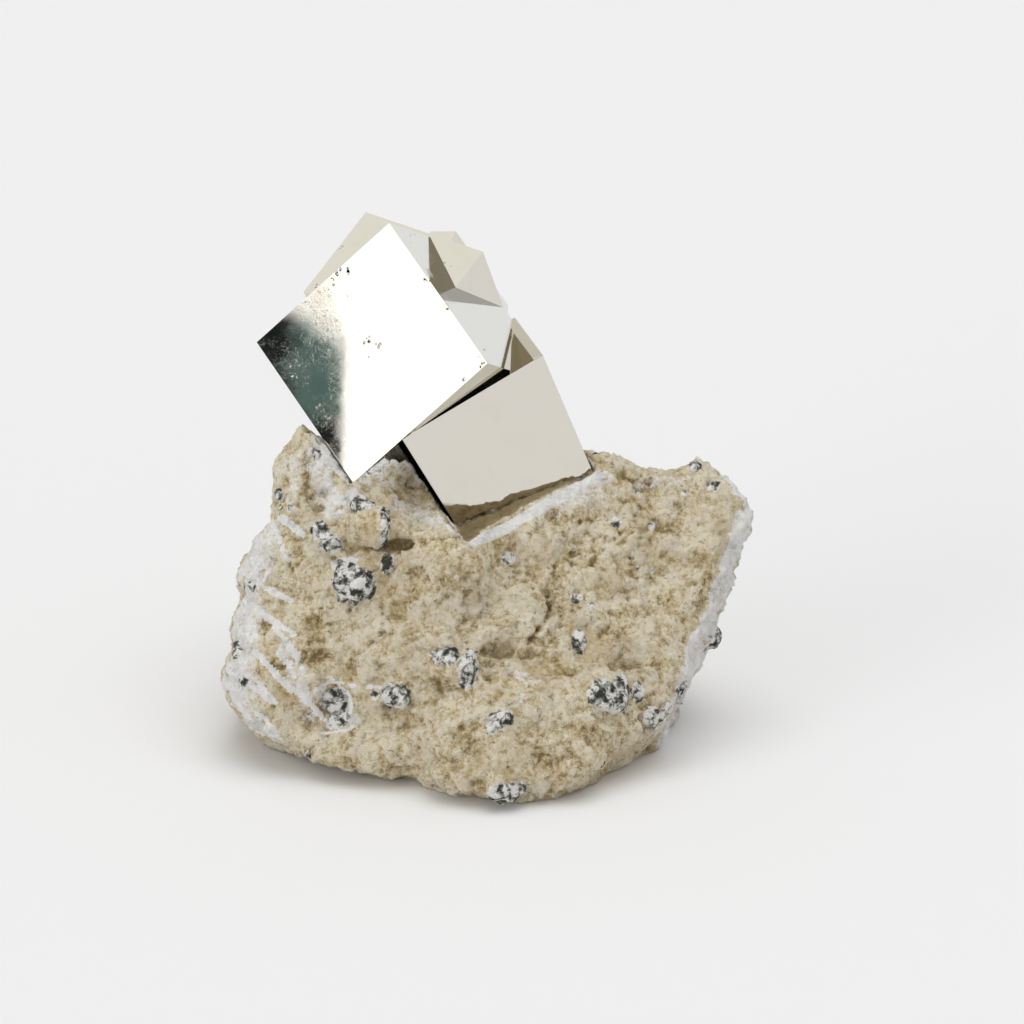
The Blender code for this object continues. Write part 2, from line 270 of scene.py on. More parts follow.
# Calcite veins on the front: from (across, up), to (across, up), half width.
frontVeins = [
    (-26.0, 28.5, -23.1, 26.5, 0.50), (-27.0, 27.9, -25.1, 23.2, 0.40), (-29.9, 17.5, -24.4, 14.0, 0.45),
    (-26.6, 14.8, -23.8, 11.1, 0.40), (-30.1, 12.9, -24.6, 6.7, 0.42), (-23.7, 6.9, -19.5, 2.0, 0.40),
    (-32.1, 9.1, -27.0, 5.4, 0.38), (-29.3, 8.3, -26.6, 5.2, 0.38), (-33.3, 7.7, -30.2, 2.9, 0.55),
    (-21.6, 6.7, -19.8, 8.0, 0.25), (-19.8, 8.0, -16.5, 7.4, 0.28), (-15.1, 7.3, -12.9, 7.3, 0.25),
    (-19.8, 8.7, -17.3, 6.1, 0.28), (-17.3, 6.1, -16.9, 2.3, 0.32), (-20.6, 1.4, -17.1, 1.8, 0.28),
    (-30.6, 18.3, -30.4, 16.0, 0.35), (-30.4, 16.0, -28.8, 13.2, 0.35), (-28.7, 20.1, -24.6, 18.1, 0.45),
    (-31.8, 21.9, -29.3, 21.0, 0.50), (-27.9, 1.8, -25.9, 0.5, 0.28), (-23.8, -1.3, -21.3, -3.3, 0.30),
    (-27.2, 22.8, -28.6, 19.6, 0.30), (-28.6, 26.0, -30.0, 22.5, 0.40), (-26.0, 11.5, -24.0, 8.5, 0.30),
    (-31.0, 5.0, -28.5, 0.8, 0.35), (-29.0, 3.8, -26.5, 1.5, 0.25),
]

# Places white with calcite dust: from (across, up), to (across, up), half width, strength.
dustBands = [
    (-9.8, 36.0, -4.2, 27.0, 0.7, 0.80), (-4.2, 27.0, -2.0, 25.3, 0.8, 0.95),
    (-1.8, 24.9, 14.0, 33.9, 0.8, 0.90), (-22.9, 39.6, -17.3, 33.8, 1.0, 0.9),
    (-14.6, 33.0, -9.6, 34.6, 2.6, 0.52), (-11.5, 30.5, -6.0, 28.0, 1.8, 0.55),
    (-28.0, 26.5, -31.0, 19.0, 2.8, 0.64), (-31.0, 19.0, -31.8, 6.0, 3.6, 0.65),
    (-30.5, 5.0, -26.0, -1.0, 2.0, 0.56), (-21.0, 6.5, -17.0, 3.0, 1.6, 0.58),
    (-25.0, 12.0, -22.0, 4.0, 2.2, 0.55), (-22.0, 36.0, -19.0, 29.5, 2.4, 0.60),
    (-25.0, 28.5, -24.0, 35.5, 1.5, 0.52), (-18.5, 30.5, -16.0, 30.5, 1.2, 0.65),
    (-12.5, 36.4, -9.0, 33.0, 1.6, 0.50), (12.0, 30.5, 24.0, 33.5, 1.6, 0.48),
    (-19.2, 22.8, -16.5, 23.2, 0.8, 0.7),
    (24.6, 5.0, 28.0, 14.0, 1.2, 0.62), (27.8, 14.0, 32.4, 28.5, 1.5, 0.66),
    (3.0, 9.3, 6.2, 8.0, 1.0, 0.55), (7.0, 27.5, 9.5, 24.0, 1.0, 0.45), (9.0, 30.0, 15.0, 33.0, 2.2, 0.55),
    (-27.0, 33.0, -24.5, 36.5, 0.9, 0.5), (1.2, 4.0, 5.0, 6.0, 1.4, 0.48), (9.5, 21.0, 12.5, 17.0, 1.0, 0.42),
    (-16.5, 33.3, -13.5, 33.8, 0.8, 0.8), (20.0, 1.2, 24.0, 4.2, 1.0, 0.45),
]

# Holes and hollows on the front: across, up, half width, half height, depth.
frontHollows = [
    (0.4, 10.4, 0.8, 0.7, 1.0), (1.6, 11.9, 2.2, 1.0, 0.9), (-20.6, 31.7, 0.8, 0.7, 1.1),
    (-21.2, 29.9, 1.0, 0.5, 0.8), (-22.9, 34.0, 0.9, 2.2, 1.0), (-11.6, 25.0, 2.6, 0.8, 0.9),
    (17.0, 9.9, 2.6, 0.9, 0.8), (-19.6, 5.0, 2.0, 2.6, 0.8), (5.0, 11.5, 2.4, 0.8, 0.5),
    (-22.0, 15.5, 1.6, 1.2, 0.4), (-22.0, 11.0, 2.6, 1.2, 0.6), (-28.0, 15.0, 1.3, 1.0, 0.5),
    (-26.5, 10.0, 1.3, 0.9, 0.5), (-28.2, 3.2, 1.3, 1.0, 0.4), (-22.5, 3.2, 1.2, 1.8, 0.6),
    (-16.5, 24.6, 2.0, 0.9, 0.5), (-9.5, 32.8, 0.8, 0.5, 0.6), (-25.4, 33.0, 0.5, 0.8, 0.4),
    (7.5, -1.5, 2.4, 1.0, 0.6), (12.0, 2.0, 2.2, 1.4, 0.5), (-17.0, -2.0, 1.4, 0.8, 0.4),
    (-24.2, 27.7, 1.4, 0.5, 0.5), (10.0, 9.0, 1.6, 0.7, 0.4), (21.5, 10.0, 1.4, 1.0, 0.4),
]

# Ledges: the side below (to the right of from-to) stands forward, fading over a few millimetres.
frontLedges = [
    (-6.4, -2.6, 3.4, 5.0, 1.1), (3.4, 5.0, 9.5, 7.3, 0.6), (-20.0, 10.6, -7.0, 11.6, 0.6),
    (9.0, 10.2, 20.0, 10.6, 0.6), (-14.0, 24.2, -3.0, 23.0, 0.7), (-23.0, -0.5, -9.0, 2.0, 0.6),
    (-18.0, 2.0, -10.5, 4.2, 0.5), (-24.0, 16.0, -14.0, 14.0, 0.4), (8.0, 0.5, 17.0, 2.8, 0.6),
    (-2.0, 19.0, 6.0, 20.5, 0.3), (12.0, 22.0, 22.0, 20.0, 0.3),
]

# Places drawn up: across, up, reach, by, and whether the moulds' walls go too.
raisedPeaks = [(-24.1, 39.2, 2.2, 1.9, 1.0), (-26.0, 36.0, 1.2, 0.8, 1.0), (27.0, 36.0, 1.2, 0.6, 1.0),
               (-2.6, 25.2, 2.6, 1.0, 0.0)]

# The upper cube's lower edge, where the marl comes right up to it. The CAD marl begins some way below
# the edge, and the skin from there down to "reach" is stretched up until only "left" stays open.
cubeEdge = {"from": (-16.9, 33.3), "to": (-7.9, 40.2), "reach": 4.5, "begins": 1.5, "left": 0.2}

# The crack in the middle of the front: points across and up.
crackPoints = [(7.6, 18.6), (8.1, 17.4), (7.7, 16.2), (6.8, 14.8), (5.4, 12.9)]

rockDetail = {
    "voxel": 0.38,
    "quickVoxel": 0.8,
    "lumpSize": 7.0,
    "lumpHeight": 0.46,
    "ridgeSize": 2.2,
    "ridgeHeight": 0.24,
    "chipSizes": (3.4, 1.5),
    "chipTilts": (0.22, 0.44),
    "crumbSize": 1.0,
    "crumbHeight": 0.28,
    "grainSize": 0.7,
    "grainHeight": 0.24,
    "flatArea": 12.0,        # square millimetres: faces larger than this were cut, not broken
    "bendSize": 1.3,
    "bendBy": 0.35,
    "wobbleSize": 0.9,
    "wideWobbleSize": 3.0,
    "otherNodules": 46,
    "otherVeins": 7,
    "whiteFrom": (18.0, 23.0),      # across: the right side turns white with calcite here
    "seed": 5,
}


def segmentDistance(points, x0, y0, x1, y1):
    # distance to the segment and the signed distance to its line, positive on the right of from-to
    ax, ay = x1 - x0, y1 - y0
    length = math.hypot(ax, ay)
    px, py = points[:, 0] - x0, points[:, 1] - y0
    along = np.clip((px * ax + py * ay) / length ** 2, 0, 1)
    distance = np.hypot(px - along * ax, py - along * ay)
    return distance, (px * ay - py * ax) / length, along


def closeUnderCube(points, front):
    # marl carried forward and up until it lies just below the upper cube's lower edge
    bm = mergedCopy("pyrite_cluster")
    tree = BVHTree.FromBMesh(bm)
    bm.free()
    (x0, y0), (x1, y1) = cubeEdge["from"], cubeEdge["to"]
    length = math.hypot(x1 - x0, y1 - y0)
    out = ((y1 - y0) / length, -(x1 - x0) / length)
    deep = []
    for x, y in ((x0, y0), (x1, y1)):
        place = tree.ray_cast(*viewRay(x - 0.5 * out[0], y - 0.5 * out[1]))[0]
        deep.append(leaningCoordinates(np.array([place]))[0, 1])
    lean = leaningCoordinates(points)
    distance, side, along = segmentDistance(lean[:, [0, 2]], x0, y0, x1, y1)
    reach, begins, left = cubeEdge["reach"], cubeEdge["begins"], cubeEdge["left"]
    weight = front * (side > 0.4) * smoothStep(reach, 0.45 * reach, side)
    weight = weight * smoothStep(1.2, 0.2, distance - np.abs(side))
    forward = np.minimum(0.0, deep[0] + (deep[1] - deep[0]) * along - 0.1 - lean[:, 1]) * weight
    stretched = reach - (reach - side) * (reach - left) / (reach - begins)
    rise = (side - np.maximum(left, stretched)) * weight
    zero = fromLeaning(0, 0, 0)
    points += forward[:, None] * np.array(fromLeaning(0, 1, 0) - zero)
    points += rise[:, None] * np.array(fromLeaning(-out[0], 0, -out[1]) - zero)


def noiseVector(place):
    # three plain noises, because mathutils' own noise vector changes from run to run
    return Vector([noise.noise(place + Vector(offset))
                   for offset in ((9.3, -1.6, -4.2), (0.4, 0.2, 0.7), (-6.3, 2.9, 7.8))])


def chipHeight(place, tilt):
    # broken facets: each cell is a plane with its own tilt and level
    middle = noise.voronoi(place)[1][0]
    lean = noiseVector(middle * 3.7)
    return tilt * (place - middle).dot(lean) + 0.10 * tilt * noise.noise(middle * 5.1)


def evenSkin():
    # the CAD rock with small even faces, and a tree of its large faces, which were cut, not broken
    d = rockDetail
    bm = mergedCopy("matrix_rock")
    bmesh.ops.dissolve_limit(bm, angle_limit=math.radians(0.4), verts=bm.verts, edges=bm.edges)
    flat = bmesh.new()
    for face in bm.faces:
        if face.calc_area() > d["flatArea"] * mm * mm:
            flat.faces.new([flat.verts.new(v.co) for v in face.verts])
    flatTree = BVHTree.FromBMesh(flat)
    flat.free()
    mesh = bpy.data.meshes.new("rockRough")
    bm.to_mesh(mesh)
    bm.free()

    carrier = bpy.data.objects.new("rockRough", mesh)
    bpy.context.scene.collection.objects.link(carrier)
    remesh = carrier.modifiers.new("even skin", "REMESH")
    remesh.mode = "VOXEL"
    remesh.voxel_size = d["voxel"] * mm
    even = evaluatedMesh(carrier)
    bpy.data.objects.remove(carrier)
    even.name = "rock_detail"
    return even, flatTree


def vertexVectors(mesh, name):
    values = np.empty(len(mesh.vertices) * 3)
    mesh.vertices.foreach_get(name, values)
    return values.reshape(-1, 3)


def rockSkin(mesh, flatTree):
    # what is known of each vertex, in arrays: where it is and which way it faces, then what it gets
    d = rockDetail
    points, normals = vertexVectors(mesh, "co"), vertexVectors(mesh, "normal")
    toFlat = np.array([(flatTree.find_nearest(Vector(p), 2 * mm)[3] or 2 * mm) for p in points]) / mm
    angle = math.radians(leaning["angle"])
    toViewer = -(normals[:, 1] * math.cos(angle) - normals[:, 2] * math.sin(angle))
    skin = {
        "points": points,
        "normals": normals,
        "plane": leaningCoordinates(points)[:, [0, 2]],
        "broken": smoothStep(0.12, 0.9, toFlat),
        "toViewer": toViewer,
        "front": smoothStep(0.02, 0.25, toViewer),
        "wobble": np.array([noise.noise(Vector(p) / (d["wobbleSize"] * mm)) for p in points]),
        "wobbleWide": np.array([noise.noise(Vector(p) / (d["wideWobbleSize"] * mm) + Vector((4.0, 0.0, 1.0)))
                                for p in points]),
    }
    for name in ("lift", "relief", "nodule", "calcite", "mudAndShade"):
        skin[name] = np.zeros(len(points))
    return skin


def atLeast(skin, name, values):
    skin[name] = np.maximum(skin[name], values)


def breakSurface(skin):
    # lumps, and small relief on them: ridges, chips, crumb and grain
    d = rockDetail
    for i, place in enumerate(skin["points"]):
        p = Vector(place) / mm
        bend = noiseVector(p / d["bendSize"]) * d["bendBy"]
        lump = noise.fractal(p / d["lumpSize"], 1.0, 2.1, 3)
        shifted = p / d["ridgeSize"] + Vector((3.1, 9.7, 1.3))
        ridge = noise.ridged_multi_fractal(shifted, 1.0, 2.1, 4, 1.0, 2.0)
        small = d["ridgeHeight"] * (ridge - 1.0)
        for size, tilt in zip(d["chipSizes"], d["chipTilts"]):
            small += size * chipHeight((p + bend) / size, tilt)
        crumb = noise.voronoi((p + bend) / d["crumbSize"] + Vector((5.0, 2.0, 8.0)))[0]
        crumbRise = d["crumbHeight"] * (min(crumb[1] - crumb[0], 0.5) - 0.22)
        small += crumbRise + d["grainHeight"] * noise.noise(p / d["grainSize"])
        skin["relief"][i] = small
        skin["lift"][i] = d["lumpHeight"] * lump + small


def formFront(skin):
    # what the photograph shows on the front, list by list
    plane, front = skin["plane"], skin["front"]
    wobble, wobbleWide = skin["wobble"], skin["wobbleWide"]

    def ovalDistance(across, up, wide, high, uneven):
        # 0 in the middle of an oval place and 1 at its edge
        return np.hypot((plane[:, 0] - across) / wide, (plane[:, 1] - up) / high) + uneven * wobble

    for *oval, rise in frontDomes:
        skin["lift"] += rise * smoothStep(1.15, 0.35, ovalDistance(*oval, 0.12)) * front
    for *oval, rise in frontNodules:
        away = ovalDistance(*oval, 0.22)
        dome = smoothStep(1.25, 0.35, away) * front
        skin["lift"] += 0.7 * rise * dome - 0.25 * rise * np.exp(-((away - 1.25) / 0.16) ** 2) * front
        atLeast(skin, "nodule", smoothStep(1.5, 0.6, away) * front)
    for *line, half in frontVeins:
        distance = segmentDistance(plane, *line)[0] + 0.14 * wobble + 0.22 * np.abs(wobbleWide)
        vein = smoothStep(half * 1.2, half * 0.5, distance) * front
        skin["lift"] += 0.12 * vein
        atLeast(skin, "calcite", 1.25 * vein)
    for *line, half, strength in dustBands:
        distance = segmentDistance(plane, *line)[0]
        atLeast(skin, "calcite", strength * smoothStep(half * 1.8, half * 0.2, distance) * front)
    for *oval, depth in frontHollows:
        bowl = smoothStep(1.4, 0.2, ovalDistance(*oval, 0.15)) * front
        skin["lift"] -= depth * bowl
        # painted shade: the hollow's colour is darkened too
        skin["relief"] -= 0.60 * bowl
    for *line, step in frontLedges:
        distance, side, along = segmentDistance(plane, *line)
        side = side + 0.5 * wobbleWide + 0.25 * wobble
        ends = smoothStep(3.0, 0.5, distance - np.abs(side))
        fading = np.exp(-np.maximum(side, 0) / 3.0)
        skin["lift"] += step * smoothStep(-0.25, 0.25, side) * fading * ends * front
    for start, end in zip(crackPoints, crackPoints[1:]):
        distance = segmentDistance(plane, *start, *end)[0] + 0.08 * wobble
        crack = smoothStep(0.42, 0.12, distance) * front
        skin["lift"] -= 0.55 * crack
        # painted shade: the crack's colour is darkened too
        skin["relief"] -= 0.6 * crack


def formOtherSides(skin):
    # the same nodules and veins, placed by chance, and the white right side
    d = rockDetail
    points, other = skin["points"], 1 - skin["front"]
    wobble, wobbleWide = skin["wobble"], skin["wobbleWide"]
    chance = np.random.default_rng(d["seed"])
    hidden = np.flatnonzero((skin["toViewer"] < 0.05) & (skin["broken"] > 0.9) & (points[:, 2] > 1.5 * mm))
    for number in range(d["otherNodules"]):
        centre = points[chance.choice(hidden)]
        size = chance.uniform(0.5, 2.3)
        near = np.linalg.norm(points - centre, axis=1) / mm / size + 0.22 * wobble
        skin["lift"] += 0.4 * size * smoothStep(1.25, 0.35, near) * other
        atLeast(skin, "nodule", smoothStep(1.5, 0.6, near) * other)
    for number in range(d["otherVeins"]):
        tilt = Vector(chance.normal(size=3)).normalized()
        offset = chance.uniform(-22, 22)
        sheet = np.abs((points / mm) @ np.array(tilt) - offset + 0.9 * wobbleWide + 0.2 * wobble)
        vein = smoothStep(0.42, 0.15, sheet) * smoothStep(0.05, 0.3, wobbleWide) * other
        atLeast(skin, "calcite", 1.25 * vein)
        skin["lift"] += 0.07 * vein
    toRight = smoothStep(0.35, 0.75, skin["normals"][:, 0] + 0.25 * wobbleWide)
    white = (0.66 + 0.35 * wobbleWide) * toRight * smoothStep(*d["whiteFrom"], skin["plane"][:, 0])
    atLeast(skin, "calcite", white)


def formMoulds(skin):
    # the crystals' moulds are rough too, but nothing there stands out toward the crystals
    base = skin["points"][:, 2] < 0.3 * mm
    wall = (1 - skin["broken"]) * ~base
    inward = np.clip(skin["lift"], -0.7, 0.06)
    # the lower cube's mould has its foot toward this side, brown with mud and darkened further as painted
    # shade
    footUp = np.array(fromLeaning(-0.478, -0.33, 0.814) - fromLeaning(0, 0, 0)) / mm
    foot = wall * smoothStep(0.5, 0.75, skin["normals"] @ footUp) * (skin["plane"][:, 0] > -9.0)
    atLeast(skin, "mudAndShade", foot)
    skin["calcite"] = np.maximum(skin["calcite"] * (1 - foot), wall * (1 - foot) * 0.62)
    skin["relief"] = np.where(base, 0.0, skin["relief"])
    skin["lift"] = skin["lift"] * skin["broken"] + inward * wall


def roughRock(material):
    mesh, flatTree = evenSkin()
    skin = rockSkin(mesh, flatTree)
    breakSurface(skin)
    print("rock: broken surface")
    formFront(skin)
    formOtherSides(skin)
    formMoulds(skin)

    points, plane, front = skin["points"], skin["plane"], skin["front"]
    points += skin["normals"] * (skin["lift"] * mm)[:, None]
    upward = np.array(fromLeaning(0, 0, 1) - fromLeaning(0, 0, 0))
    for across, up, reach, rise, walls in raisedPeaks:
        near = np.exp(-((plane[:, 0] - across) ** 2 + (plane[:, 1] - up) ** 2) / reach ** 2)
        points += upward * (near * rise * np.maximum(walls, skin["broken"] * front))[:, None]
    closeUnderCube(points, front)
    points[:, 2] = np.maximum(points[:, 2], 0.0)
    mesh.vertices.foreach_set("co", points.ravel())
    # the relief sets painted shade in low places and painted light on high ones in the marl's colour
    skin["relief"] = np.clip(0.5 + 0.9 * skin["relief"], 0.0, 1.3)
    for name in ("nodule", "calcite", "mudAndShade", "relief"):
        values = mesh.attributes.new(name, "FLOAT", "POINT").data
        values.foreach_set("value", skin[name].astype(np.float32))
    mesh.update()
    mesh.polygons.foreach_set("use_smooth", [True] * len(mesh.polygons))
    print("rock:", len(mesh.polygons) * 2, "triangles")
    finishedPiece("rock_detail", mesh, "matrix_rock", material)


# Pyrite

pyriteFinish = {
    "metal": "#E1DDD3",
    "stain": "#CDBF9A",
    "rust": "#7D6C4E",
    "roughness": 0.035,
    "haze": 0.11,
    "rubbed": 0.17,
    "scratched": 0.27,
    "waveSize": 12.0,        # millimetres
    "waveHeight": 0.012,
    "scratchSize": 2.2,
    "edgeWear": 0.05,
    "seed": 3,
}

# The upper cube's front face, by where it faces; the others follow from the mesh.
mainFaceNormal = Vector((-0.442, -0.793, 0.419))

# Pits and chips: across, up, radius, how many, spread across and up.
crystalPits = [
    (-15.3, 51.3, 0.28, 4, 0.5, 0.6), (-13.9, 50.6, 0.22, 3, 0.3, 0.3), (-15.2, 49.2, 0.16, 1, 0.1, 0.1),
    (-18.6, 60.0, 0.30, 5, 0.8, 0.5), (-21.0, 58.4, 0.20, 7, 1.6, 0.8), (-23.6, 55.8, 0.16, 6, 1.0, 0.8),
    (-20.2, 55.6, 0.10, 8, 2.4, 1.8), (-18.0, 52.6, 0.12, 5, 1.2, 1.5), (-23.0, 45.2, 0.18, 4, 0.6, 0.8),
    (-24.6, 47.2, 0.20, 4, 0.6, 0.9), (-21.4, 42.6, 0.20, 3, 0.5, 0.8), (-0.6, 48.9, 0.22, 6, 0.5, 1.2),
    (-2.8, 46.4, 0.20, 3, 0.4, 0.5), (-7.4, 59.6, 0.20, 7, 0.7, 1.6), (-9.2, 64.2, 0.14, 4, 0.6, 0.8),
    (-5.0, 55.6, 0.12, 5, 0.7, 1.8),
    (-5.2, 60.4, 0.20, 3, 0.6, 0.8), (-18.6, 62.8, 0.16, 6, 0.6, 0.8), (4.3, 61.0, 0.14, 3, 0.5, 0.4),
]

# Rubbed and scratched places: across, up, reach.
wornPlaces = [(-21.4, 57.2, 5.0), (-20.4, 53.6, 3.4), (-0.4, 48.4, 1.6), (-7.2, 59.8, 1.6), (-5.0, 55.6, 1.4)]
scratchedPlaces = [(-20.6, 51.2, 4.6), (-25.5, 48.2, 4.4), (-21.0, 41.5, 2.4), (-18.8, 46.0, 2.4)]


def pyriteMaterial(wornSpots, scratchedSpots):
    # Pyrite as it grew: a pale brassy mirror, faintly uneven, rubbed and hair-scratched near some edges.
    c = pyriteFinish
    mat = bpy.data.materials.new("pyrite cube face")
    mat.use_nodes = True
    tree = mat.node_tree
    shader = tree.nodes["Principled BSDF"]
    place = addNode(tree, "ShaderNodeTexCoord").outputs["Object"]
    noiseField = partial(addNoise, tree, place)
    spread = partial(addSpread, tree)
    maths = partial(addMaths, tree)

    # worn: strong round each worn spot, broken up by noise
    worn = 0.0
    for spot, reach in wornSpots:
        near = spread(addDistance(tree, place, spot), reach * mm, 0.15 * reach * mm)
        worn = maths("MAXIMUM", worn, near)
    worn = maths("SUBTRACT", maths("MULTIPLY", worn, 0.75), noiseField(1.6, 6.0, 0.7))
    worn = spread(worn, -0.30, 0.42)

    # hair scratches: thin level lines of two distorted fields, where a third lets them show
    field = noiseField(c["scratchSize"], 3.0, 0.6, 1.6)
    crossing = noiseField(0.55 * c["scratchSize"], 2.0, 0.5, 2.6)
    line = spread(maths("ABSOLUTE", maths("SUBTRACT", field, 0.5)), 0.007, 0.001)
    crossing = spread(maths("ABSOLUTE", maths("SUBTRACT", crossing, 0.48)), 0.012, 0.002)
    shown = spread(noiseField(2.2, 3.0, 0.6), 0.50, 0.64)
    for spot, reach in scratchedSpots:
        near = spread(addDistance(tree, place, spot), reach * mm, 0.4 * reach * mm)
        shown = maths("MAXIMUM", shown, near)
    hair = maths("MULTIPLY", maths("MAXIMUM", line, crossing), maths("MULTIPLY", shown, 0.8))

    # a faint bloom, and rust-brown specks in the worn places
    bloom = spread(noiseField(3.5, 3.0, 0.6), 0.50, 0.75, 0.10)
    stained = maths("MULTIPLY_ADD", worn, 0.20, bloom)
    colour = mixColours(tree, stained, toLinear(c["metal"]), toLinear(c["stain"]))
    specks = maths("MULTIPLY", spread(noiseField(0.7, 4.0, 0.75), 0.56, 0.66), worn)
    colour = mixColours(tree, maths("MULTIPLY", specks, 0.75), colour, toLinear(c["rust"]))
    tree.links.new(colour, shader.inputs["Base Color"])
    shader.inputs["Metallic"].default_value = 1.0

    haze = spread(noiseField(4.0, 5.0, 0.7), 0.45, 0.80, c["haze"], c["roughness"])
    rough = mixValues(tree, worn, haze, c["rubbed"])
    rough = mixValues(tree, hair, rough, c["scratched"])
    tree.links.new(rough, shader.inputs["Roughness"])

    wave = addBump(tree, noiseField(c["waveSize"], 1.0, 0.5), c["waveHeight"])
    grit = addBump(tree, noiseField(0.45, 4.0, 0.7), 0.02, maths("MAXIMUM", worn, hair), wave)
    tree.links.new(grit, shader.inputs["Normal"])
    return mat


def viewRay(across, up):
    # from the camera through a place in the leaning plane
    eye, aim = cameraPlace()
    return eye, (fromLeaning(across, 0.0, up) - eye).normalized()


def cameraPlace():
    aim = fromLeaning(*studio["cameraAim"])
    angle = math.radians(leaning["angle"])
    return aim - Vector((0, math.cos(angle), -math.sin(angle))) * studio["cameraDistance"], aim


def pitGrains(tree):
    # small uneven grains, half sunk in the faces that the camera sees
    chance = np.random.default_rng(pyriteFinish["seed"])
    pits = bmesh.new()
    for across, up, radius, number, wide, high in crystalPits:
        for turn in range(number):
            eye, way = viewRay(across + chance.uniform(-wide, wide), up + chance.uniform(-high, high))
            place, normal, index, distance = tree.ray_cast(eye, way)
            if place is None:
                continue
            size = radius * chance.uniform(0.5, 1.3) * mm
            shape = Matrix.Diagonal((*chance.uniform(0.6, 1.6, 3), 1.0)) @ Matrix.Scale(size, 4)
            tumble = Euler(chance.uniform(0, 6.28, 3)).to_matrix().to_4x4()
            middle = Matrix.Translation(place + normal * size * 0.35)
            made = bmesh.ops.create_icosphere(pits, subdivisions=1, radius=1.0,
                                              matrix=middle @ tumble @ shape)
            for v in made["verts"]:
                v.co += Vector(chance.uniform(-0.2, 0.2, 3) * size)
    mesh = bpy.data.meshes.new("pits")
    pits.to_mesh(mesh)
    pits.free()
    return mesh


def cutAway(mesh, cutterMesh):
    carrier = bpy.data.objects.new("carrier", mesh)
    cutter = bpy.data.objects.new("cutter", cutterMesh)
    for ob in (carrier, cutter):
        bpy.context.scene.collection.objects.link(ob)
    cut = carrier.modifiers.new("cut", "BOOLEAN")
    cut.operation = "DIFFERENCE"
    cut.solver = "EXACT"
    cut.use_self = True
    cut.object = cutter
    result = evaluatedMesh(carrier)
    bpy.data.objects.remove(carrier)
    bpy.data.objects.remove(cutter)
    return result


def crystalSkin():
    # the crystals with worn edges and pits; gives back the upper cube's front face, middle and normal
    bm = mergedCopy("pyrite_cluster")
    bmesh.ops.dissolve_limit(bm, angle_limit=math.radians(0.3), verts=bm.verts, edges=bm.edges)
    tree = BVHTree.FromBMesh(bm)
    face = max((f for f in bm.faces if f.normal.dot(mainFaceNormal) > 0.99), key=lambda f: f.calc_area())
    mainFace = (face.calc_center_median().copy(), face.normal.copy())
    sharp = [e for e in bm.edges if e.is_manifold and e.calc_face_angle_signed() > math.radians(20)]
    bmesh.ops.bevel(bm, geom=sharp, offset=pyriteFinish["edgeWear"] * mm, offset_type="OFFSET", segments=1,
                    affect="EDGES", profile=0.5, material=-1, clamp_overlap=True)
    mesh = bpy.data.meshes.new("crystals")
    bm.to_mesh(mesh)
    bm.free()

    pitted = cutAway(mesh, pitGrains(tree))
    pitted.name = "crystals_detail"
    print("crystals:", len(pitted.polygons), "faces")
    worn = [(tree.ray_cast(*viewRay(across, up))[0], reach) for across, up, reach in wornPlaces]
    scratched = [(tree.ray_cast(*viewRay(across, up))[0], reach) for across, up, reach in scratchedPlaces]
    material = pyriteMaterial(worn, scratched)
    finishedPiece("crystals_detail", pitted, "pyrite_cluster", material)
    return mainFace


# Studio

studio = {
    "backdrop": "#EFEFEF",
    "floorSize": 8.0,
    "worldLight": 0.585,
    "tentLight": 1.0,
    "tentColour": "#F3F6FB",
    "tentRadius": 2.5,
    "darkRoom": (0.1, -1.2, 0.95),       # in front of the piece
    "darkRoomSize": (1.8, 1.7),
    "flagsFrom": 0.05,                   # the flags stand round this height, this far off, in metres
    "flagDistance": 0.5,
    "cameraLens": 250.0,
    "cameraDistance": 0.9102,
    "cameraAim": (3.2, 0.0, 29.3),       # leaning: across, deep, up
    "keyFrom": (0.10, -0.05, 0.99),
    "keySpread": 50.0,                   # degrees
    "keyLight": 0.37,
    "fillFrom": (-0.74, -0.64, 0.20),
    "fillSpread": 40.0,
    "fillLight": 0.27,
}

# What the upper cube's front face mirrors: corners on the face (across, up), how far off in metres,
# colour, strength.
mirrored = {
    "white panel": [[(-45, 75), (20, 75), (20, 20), (-45, 20)], 0.30, "#FFFFFF", 1.6],
    "teal panel": [[(-42, 66), (-14, 66), (-14, 22), (-42, 22)], 0.10, "#425856", 1.6],
}

# The teal panel ends at these lines of the face: a place (across, up), the way out, how ragged.
tealEnds = [((-18.6, 40.0), (1.0, 0.03), 0.8), ((-25.5, 55.6), (0.50, 0.87), 5.0)]

# Black parts of the teal panel: across, up, reach.
blackParts = [
    (-29.0, 51.0, 6.2), (-25.8, 54.5, 3.0), (-27.0, 45.0, 3.4), (-20.0, 37.0, 6.0), (-24.5, 40.0, 3.0),
]

# Flags round the specimen, seen only in the crystals: turned from straight back, height (degrees),
# width and height (degrees), colour.
flags = {
    "flag above": [24, 51, 46, 52, "#959182"],
    "flag right": [88, 9, 26, 20, "#9B9079"],
    "flag rear right": [51, 1, 18, 12, "#C0C2C6"],
    "flag upper left": [-52, 60, 44, 46, "#F9F9F4"],
    "flag rear left": [-12, 14, 16, 14, "#D4D0C6"],
}


def plainMaterial(name, colour, strength=None):
    mat = bpy.data.materials.new(name)
    mat.use_nodes = True
    shader = mat.node_tree.nodes["Principled BSDF"]
    shader.inputs["Specular IOR Level"].default_value = 0.0
    shader.inputs["Roughness"].default_value = 0.9
    if strength is None:
        shader.inputs["Base Color"].default_value = toLinear(colour)
    else:
        shader.inputs["Base Color"].default_value = (0, 0, 0, 1)
        shader.inputs["Emission Color"].default_value = toLinear(colour)
        shader.inputs["Emission Strength"].default_value = strength
    return mat


def stagePiece(name, bm, material, onlyMirrored=False):
    mesh = bpy.data.meshes.new(name)
    bm.to_mesh(mesh)
    bm.free()
    mesh.materials.append(material)
    ob = bpy.data.objects.new(name, mesh)
    bpy.context.scene.collection.objects.link(ob)
    if onlyMirrored:
        ob.visible_camera = False
        ob.visible_diffuse = False
        ob.visible_shadow = False
        ob.visible_transmission = False


